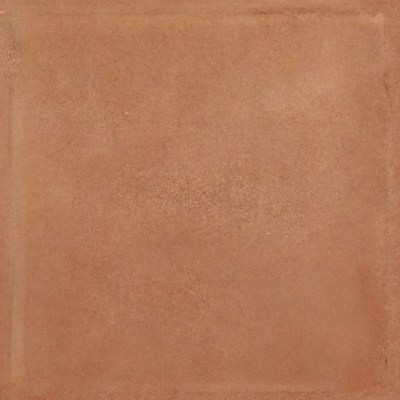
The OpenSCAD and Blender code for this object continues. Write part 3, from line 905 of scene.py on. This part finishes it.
class Nodes:
    """Adds shader nodes to one material and links them."""

    def __init__(self, name):
        self.material = bpy.data.materials.new(name)
        self.material.use_nodes = True
        self.tree = self.material.node_tree
        self.shader = self.tree.nodes["Principled BSDF"]
        self.place = self.add("TexCoord").outputs["Object"]

    def add(self, kind, **settings):
        """A new shader node with these settings."""
        node = self.tree.nodes.new("ShaderNode" + kind)
        for name, value in settings.items():
            setattr(node, name, value)
        return node

    def feed(self, socket, value):
        """Links an output to a socket, or sets the socket to a plain value."""
        if isinstance(value, bpy.types.NodeSocket):
            self.tree.links.new(value, socket)
        else:
            socket.default_value = value

    def math(self, operation, *values):
        """Result of a Math node."""
        node = self.add("Math", operation=operation)
        for socket, value in zip(node.inputs, values, strict=False):
            self.feed(socket, value)
        return node.outputs["Value"]

    def sum(self, first, *others):
        """Sum of several values."""
        for value in others:
            first = self.math("ADD", first, value)
        return first

    def times(self, first, *others):
        """Product of several values."""
        for value in others:
            first = self.math("MULTIPLY", first, value)
        return first

    def mask(self, name):
        """A mask stored on the mesh's points."""
        return self.add("Attribute", attribute_name=name).outputs["Fac"]

    def noise(self, size, detail=2.0, roughness=0.5, stretch=(1, 1, 1), seed=0.0):
        """Fractal noise about 0, from about -0.5 to 0.5, with cells of this size in metres."""
        mapping = self.add("Mapping")
        self.feed(mapping.inputs["Vector"], self.place)
        mapping.inputs["Scale"].default_value = stretch
        mapping.inputs["Location"].default_value = (seed, seed * 0.7, seed * 1.3)
        node = self.add("TexNoise", noise_dimensions="3D")
        self.feed(node.inputs["Vector"], mapping.outputs["Vector"])
        node.inputs["Scale"].default_value = 1 / size
        node.inputs["Detail"].default_value = detail
        node.inputs["Roughness"].default_value = roughness
        return self.math("SUBTRACT", node.outputs["Fac"], 0.5)

    def fit(self, value, from_low, from_high, to_low=0.0, to_high=1.0, smooth=True):
        """Maps one range to another, held at both ends."""
        kind = "SMOOTHSTEP" if smooth else "LINEAR"
        node = self.add("MapRange", interpolation_type=kind)
        for name, number in (
            ("Value", value),
            ("From Min", from_low),
            ("From Max", from_high),
            ("To Min", to_low),
            ("To Max", to_high),
        ):
            self.feed(node.inputs[name], number)
        return node.outputs["Result"]

    def band(self, value, middle, width):
        """1 at the middle of a band, falling softly to 0 at the width's ends."""
        away = self.math("ABSOLUTE", self.math("SUBTRACT", value, middle))
        return self.fit(away, width, 0.0)

    def fleck(self, place, shape):
        """A small hard ellipse: its strength inside, 0 outside."""
        u, v, length, width, strength, *rest = shape
        node = self.add("Mapping", vector_type="TEXTURE")
        self.feed(node.inputs["Vector"], place)
        x, y = TILE.low[:2] + np.array([u, v]) / 100 * TILE.side
        node.inputs["Location"].default_value = (x, y, TILE.high[2])
        node.inputs["Rotation"].default_value = (0, 0, turn_of(rest))
        node.inputs["Scale"].default_value = (length * MM, width * MM, FLECK_DEPTH)
        away = self.add("VectorMath", operation="LENGTH")
        self.feed(away.inputs[0], node.outputs["Vector"])
        return self.fit(away.outputs["Value"], *FLECK_EDGE, 0.0, abs(strength))

    def mix(self, share, first, second):
        """First colour at share 0, second at share 1."""
        node = self.add("Mix", data_type="RGBA")
        self.feed(node.inputs["Factor"], share)
        sockets = [s for s in node.inputs if s.type == "RGBA"]
        for socket, colour in zip(sockets, (first, second), strict=True):
            self.feed(socket, (*colour, 1) if isinstance(colour, tuple) else colour)
        return [s for s in node.outputs if s.type == "RGBA"][0]

    def tint(self, colour, amount, shift):
        """Colour moved by the amount times a fixed shift of red, green and blue."""
        node = self.add("VectorMath", operation="MULTIPLY_ADD")
        self.feed(node.inputs[0], amount)
        node.inputs[1].default_value = shift
        self.feed(node.inputs[2], colour)
        return node.outputs["Vector"]


def fired_clay(colours):
    """Worn terracotta: cloudy clay with sand, a pale crest that is partly painted light, soil in the
    rim, scuffs whose specks are partly painted light and shade, stains, and painted shadow in a crack.
    """
    n = Nodes("fired_clay")
    face = n.math("SUBTRACT", 1.0, n.mask("raw"))
    patches = n.noise(0.012, detail=4, roughness=0.8, seed=15.2)
    patches = n.fit(patches, -0.14, 0.14, 0.55, 1.5, smooth=False)
    coarse = n.times(n.sum(n.times(n.mask("grain"), face), n.times(n.mask("raw"), 1.2)), patches)
    mottle = n.times(n.noise(0.028, detail=5, roughness=0.85), n.math("MULTIPLY_ADD", coarse, 0.5, 0.5))
    sand = n.sum(
        n.times(n.noise(0.0012, detail=3, roughness=0.85, stretch=(1.4, 0.6, 1), seed=3.1), 0.62),
        n.times(n.noise(0.0012, detail=3, roughness=0.85, stretch=(0.6, 1.4, 1), seed=23.1), 0.47),
        n.times(n.noise(0.0011, detail=3, roughness=0.85, seed=33.1), 0.60),
    )
    grit = n.noise(0.0040, detail=3, roughness=0.8, seed=5.3)

    # The tone mask's pale crests and lips beside the foot are partly painted light: light on the lit
    # shoulders, and light that offsets the shade of slopes facing away from the lamp.
    tone = n.sum(n.times(n.mask("tone"), face), n.times(mottle, 1.95))
    colour = n.mix(n.math("MULTIPLY_ADD", tone, 0.5, 0.5), tuple(colours.deep), tuple(colours.pale))
    ochre = n.noise(0.026, detail=5, roughness=0.85, seed=8.2)
    warmth = n.sum(n.times(n.mask("warmth"), face), n.times(ochre, 3.6))
    colour = n.tint(colour, warmth, WARM_SHIFT)
    moss = n.noise(0.022, detail=5, roughness=0.9, seed=12.6)
    olive = n.sum(n.times(n.mask("olive"), face), n.times(moss, 1.2))
    colour = n.tint(colour, olive, OLIVE_SHIFT)

    ragged = n.noise(0.004, detail=4, roughness=0.75, seed=1.4)
    stain = n.fit(n.sum(n.mask("stain"), n.times(ragged, 0.5)), 0.15, 0.8, 0.0, 0.42)
    stain = n.sum(n.times(n.mask("stain"), 0.38), stain)
    stain = n.times(stain, n.fit(n.noise(0.010, detail=5, roughness=0.7, seed=6.6), -0.2, 0.12, 0.65, 1.0))
    colour = n.mix(stain, colour, tuple(colours.stain))

    broken = n.fit(n.noise(0.007, detail=4, roughness=0.8, seed=2.7), -0.16, 0.14, 0.35, 1.4)
    rim = n.sum(n.mask("rim_distance"), n.times(ragged, 2.2))
    line = n.times(n.band(rim, 0.2, 1.2), n.mask("line"), broken)
    hazy = n.sum(rim, n.times(ragged, 1.5))
    haze = n.times(n.fit(hazy, -4.4, -3.5), n.fit(hazy, 0.8, -1.2), n.mask("dirt"), broken)
    crack = n.band(n.sum(n.mask("crack"), n.times(ragged, 1.2)), 0.0, 0.9)
    crack = n.times(crack, n.mask("cracked"), broken)
    soil = n.math("MINIMUM", n.sum(line, haze, crack), 0.9)
    colour = n.mix(soil, colour, tuple(colours.soil))

    scuff = n.mask("scuff")
    # Pale and dark specks of torn clay in the scuffs, partly painted light and shade of its tiny pits.
    torn = n.noise(0.0010, detail=2, roughness=0.7, stretch=(1.7, 0.6, 1), seed=9.7)
    torn = n.sum(n.fit(torn, 0.02, 0.20, 0.0, 0.38), n.fit(torn, -0.22, -0.05, -0.19, 0.0))
    colour = n.tint(colour, n.times(torn, scuff, patches), TORN_SHIFT)
    crazed = n.noise(0.0015, detail=3, roughness=0.8, stretch=(2.0, 0.4, 1), seed=4.4)
    wisps = n.times(n.fit(crazed, 0.02, 0.16, 0.0, 0.5), n.mask("crackle"))
    gaps = n.times(n.fit(crazed, -0.2, -0.04, -0.26, 0.0), n.mask("crackle"))
    colour = n.tint(colour, wisps, WISP_SHIFT)
    colour = n.tint(colour, gaps, GAP_SHIFT)
    chip = n.fit(n.sum(n.mask("chip"), n.times(ragged, 0.9)), 0.12, 0.5)
    chip = n.times(chip, n.fit(sand, -0.2, 0.15, 0.35, 0.9))
    colour = n.mix(chip, colour, tuple(colours.chip))
    warped = n.add("VectorMath", operation="ADD")
    n.feed(warped.inputs[0], n.place)
    n.feed(warped.inputs[1], n.times(n.noise(0.0013, detail=2, seed=7.7), 0.0012))
    # The fifth value of a fleck is its strength.
    # Dark flecks are soil, except the two at the top of the crack near +X, which are painted shadow.
    for fleck_colour, sign in ((colours.chip, 1), (colours.soil, -1)):
        flecks = [n.fleck(warped.outputs["Vector"], fleck) for fleck in FLECKS if fleck[4] * sign > 0]
        colour = n.mix(n.sum(*flecks), colour, tuple(fleck_colour))

    colour = n.mix(n.times(n.mask("raw"), 0.8), colour, tuple(colours.raw))
    grain = n.sum(sand, n.times(grit, 0.45))
    grain = n.times(grain, n.math("MULTIPLY_ADD", grain, 0.6, 1.0))
    colour = n.tint(colour, n.times(grain, coarse), SAND_SHIFT)
    n.feed(n.shader.inputs["Base Color"], colour)

    rough = n.sum(n.times(grit, 0.25), 0.80)
    n.feed(n.shader.inputs["Roughness"], rough)
    n.shader.inputs["Specular IOR Level"].default_value = 0.25
    bump = n.add("Bump")
    bump.inputs["Strength"].default_value = 0.6
    bump.inputs["Distance"].default_value = 0.0004
    height = n.sum(sand, n.times(grit, 0.8), n.times(torn, scuff, 1.5))
    n.feed(bump.inputs["Height"], height)
    n.feed(n.shader.inputs["Normal"], bump.outputs["Normal"])
    return n.material


def studio_floor(colour):
    """Plain pale floor with a barely seen mottle."""
    n = Nodes("studio_floor")
    mottle = n.times(n.noise(0.25, detail=2), 0.04)
    n.feed(n.shader.inputs["Base Color"], n.tint(colour, mottle, (1, 1, 1)))
    n.shader.inputs["Roughness"].default_value = 1
    n.shader.inputs["Specular IOR Level"].default_value = 0
    return n.material


# --- Studio -------------------------------------------------------------------------------

# Least and most distance that the camera sees.
CLIP = (0.01, 50)
# How far the floor lies below the tile, so that the two don't share a plane.
FLOOR_GAP = 0.05 * MM
# Degrees of the lamp's compass turn, height above the floor and spread.
KEY_LAMP = {"turn": 135, "height_angle": 52, "spread": 28}


def add_object(name, data):
    """Links a new object to the scene."""
    thing = bpy.data.objects.new(name, data)
    bpy.context.scene.collection.objects.link(thing)
    return thing


def add_camera(studio):
    """Camera straight above the tile, so far up that the face fills the square picture."""
    data = bpy.data.cameras.new("overhead_camera")
    data.lens = studio.lens
    half_angle = math.atan(data.sensor_width / 2 / data.lens)
    camera = add_object("overhead_camera", data)
    reach = TILE.side / 2 - studio.crop
    middle = (TILE.low + TILE.high) / 2
    camera.location = (middle[0], middle[1], TILE.rim + reach / math.tan(half_angle))
    data.clip_start, data.clip_end = CLIP
    bpy.context.scene.camera = camera


def add_lamp(name, turn, height_angle, spread, strength):
    """Wide, far lamp that lights the floor evenly, from a compass turn and an angle above it."""
    data = bpy.data.lights.new(name, "SUN")
    data.energy, data.angle = strength, math.radians(spread)
    lamp = add_object(name, data)
    lamp.rotation_euler = (math.radians(90 - height_angle), 0, math.radians(turn + 90))


def add_world(strength, backdrop):
    """Even white light all round, with a pale backdrop where the camera looks past the floor."""
    world = bpy.data.worlds.new("studio")
    world.use_nodes = True
    tree = world.node_tree
    light = tree.nodes["Background"]
    light.inputs["Color"].default_value = (1, 1, 1, 1)
    light.inputs["Strength"].default_value = strength
    seen = tree.nodes.new("ShaderNodeBackground")
    seen.inputs["Color"].default_value = (*backdrop, 1)
    seen.inputs["Strength"].default_value = 1
    path = tree.nodes.new("ShaderNodeLightPath")
    links = tree.links
    sees = path.outputs["Is Camera Ray"]
    for ray in ("Is Glossy Ray", "Is Transmission Ray"):
        either = tree.nodes.new("ShaderNodeMath")
        either.operation = "MAXIMUM"
        links.new(sees, either.inputs[0])
        links.new(path.outputs[ray], either.inputs[1])
        sees = either.outputs[0]
    mix = tree.nodes.new("ShaderNodeMixShader")
    links.new(sees, mix.inputs["Fac"])
    links.new(light.outputs[0], mix.inputs[1])
    links.new(seen.outputs[0], mix.inputs[2])
    links.new(mix.outputs[0], tree.nodes["World Output"].inputs["Surface"])
    bpy.context.scene.world = world


# --- Add-on -------------------------------------------------------------------------------


def colour_setting(name, description, default):
    """A colour that a user can change."""
    return bpy.props.FloatVectorProperty(
        name=name, description=description, default=default, subtype="COLOR", size=3, min=0, max=1
    )


def length_setting(name, description, default):
    """A length that a user can change."""
    return bpy.props.FloatProperty(
        name=name, description=description, default=default, min=0, unit="LENGTH", precision=5
    )


def count_setting(name, description, default):
    """A whole number that a user can change."""
    return bpy.props.IntProperty(name=name, description=description, default=default, min=1)


class TileRelief(bpy.types.PropertyGroup):
    """Sizes of the tile's wear and of its mesh."""

    wave_height: length_setting("Waves", "Depth of the face's slow waves", 0.12 * MM)
    groove_depth: length_setting("Soil line", "Depth of the line at the field's foot", 0.4 * MM)
    scuff_depth: length_setting("Scuffs", "Depth of the torn clay in the scuffs", 0.05 * MM)
    pit_depth: length_setting("Pits", "Depth of the deepest pit", 0.35 * MM)
    pit_count: count_setting("Pit count", "Pits in the face", 70)
    arris_chip: length_setting("Arris wear", "Depth of the wear on the arris", 0.6 * MM)
    side_roughness: length_setting("Side roughness", "Depth of the sides' texture", 0.12 * MM)
    key_draft: length_setting("Key draft", "Width of the slope round each recess", 0.5 * MM)
    back_margin: length_setting("Back margin", "Distance from the sides to the back's grid", 5 * MM)
    rim_reach: length_setting("Rim reach", "How far in from the sides the grid is fine", 24 * MM)
    rim_step: length_setting("Rim step", "Grid spacing near the sides", 0.8 * MM)
    field_step: length_setting("Field step", "Grid spacing on the field", 1.2 * MM)
    arris_steps: count_setting("Arris steps", "Rows of faces across the arris", 4)
    side_steps: count_setting("Side steps", "Rows of faces up the upright side", 5)
    corner_steps: count_setting("Corner steps", "Faces round each upright corner, an even number", 6)


class TileColours(bpy.types.PropertyGroup):
    """Colours of the clay and of what lies on it."""

    pale: colour_setting("Pale clay", "The lightest clouds of clay", (0.528, 0.254, 0.134))
    deep: colour_setting("Deep clay", "The darkest clouds of clay", (0.370, 0.124, 0.051))
    soil: colour_setting("Soil", "Dirt in the line round the field", (0.262, 0.069, 0.023))
    stain: colour_setting("Stain", "Rusty brown stains near one corner", (0.38, 0.115, 0.040))
    chip: colour_setting("Chips", "Pale clay where the surface has chipped", (0.62, 0.315, 0.165))
    raw: colour_setting("Raw clay", "Clay of the sides and back", (0.47, 0.21, 0.115))


class TileStudio(bpy.types.PropertyGroup):
    """Camera, light and floor."""

    lens: bpy.props.FloatProperty(
        name="Lens", description="Focal length of the overhead camera", default=100, min=10, unit="CAMERA"
    )
    crop: length_setting("Crop", "How much of each side the picture leaves out", 1.3 * MM)
    key_strength: bpy.props.FloatProperty(
        name="Key lamp", description="Strength of the wide lamp", default=2.02, min=0
    )
    sky_strength: bpy.props.FloatProperty(
        name="Even light", description="Strength of the light from all round", default=0.51, min=0
    )
    floor_size: length_setting("Floor", "Width of the floor", 12)
    floor_colour: colour_setting("Floor colour", "Colour of the floor and backdrop", (0.80, 0.79, 0.77))


class FLOOR_TILE_OT_add_tile(bpy.types.Operator):
    """Build the tile's worn face, sides and keyed back in fired clay"""

    bl_idname = "floor_tile.add_tile"
    bl_label = "Add Tile"

    def execute(self, context):
        shell, points, masks = build_tile(context.scene.tile_relief)
        mesh = shell.mesh("tile_clay", points)
        for name, values in masks.items():
            mesh.attributes.new(name, "FLOAT", "POINT").data.foreach_set("value", values.astype(np.float32))
        mesh.materials.append(fired_clay(context.scene.tile_colours))
        tile = add_object("tile_clay", mesh)
        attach(tile, "root")
        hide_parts(NODE)
        return {"FINISHED"}


class FLOOR_TILE_OT_add_studio(bpy.types.Operator):
    """Build the floor, lamp, backdrop and overhead camera"""

    bl_idname = "floor_tile.add_studio"
    bl_label = "Add Studio"

    def execute(self, context):
        scene = context.scene
        studio = scene.tile_studio
        reach, level = studio.floor_size / 2, TILE.low[2] - FLOOR_GAP
        mesh = bpy.data.meshes.new("studio_floor")
        ways = ((-1, -1), (1, -1), (1, 1), (-1, 1))
        corners = [(reach * x, reach * y, level) for x, y in ways]
        mesh.from_pydata(corners, [], [(0, 1, 2, 3)])
        mesh.materials.append(studio_floor(tuple(studio.floor_colour)))
        add_object("studio_floor", mesh)
        add_lamp("key_lamp", strength=studio.key_strength, **KEY_LAMP)
        add_world(studio.sky_strength, tuple(studio.floor_colour))
        add_camera(studio)
        scene.view_settings.view_transform = "Standard"
        return {"FINISHED"}


class VIEW3D_PT_floor_tile(bpy.types.Panel):
    """Lists the tile's settings and the buttons that build it"""

    bl_label = "Floor Tile"
    bl_space_type = "VIEW_3D"
    bl_region_type = "UI"
    bl_category = "Floor Tile"

    def draw(self, context):
        layout, scene = self.layout, context.scene
        for group in (scene.tile_relief, scene.tile_colours, scene.tile_studio):
            box = layout.box()
            for name in group.__annotations__:
                box.prop(group, name)
        layout.operator("floor_tile.add_tile")
        layout.operator("floor_tile.add_studio")


GROUPS = {"tile_relief": TileRelief, "tile_colours": TileColours, "tile_studio": TileStudio}
CLASSES = (*GROUPS.values(), FLOOR_TILE_OT_add_tile, FLOOR_TILE_OT_add_studio, VIEW3D_PT_floor_tile)


def register():
    """Adds the settings, operators and panel to Blender, and the settings to each scene."""
    for each in CLASSES:
        bpy.utils.register_class(each)
    for name, group in GROUPS.items():
        setattr(bpy.types.Scene, name, bpy.props.PointerProperty(type=group))


def unregister():
    """Takes them away again, in the opposite order."""
    for name in GROUPS:
        delattr(bpy.types.Scene, name)
    for each in reversed(CLASSES):
        bpy.utils.unregister_class(each)


def main():
    """Builds everything in order."""
    register()
    bpy.ops.floor_tile.add_tile()
    bpy.ops.floor_tile.add_studio()


if __name__ == "__main__":
    main()
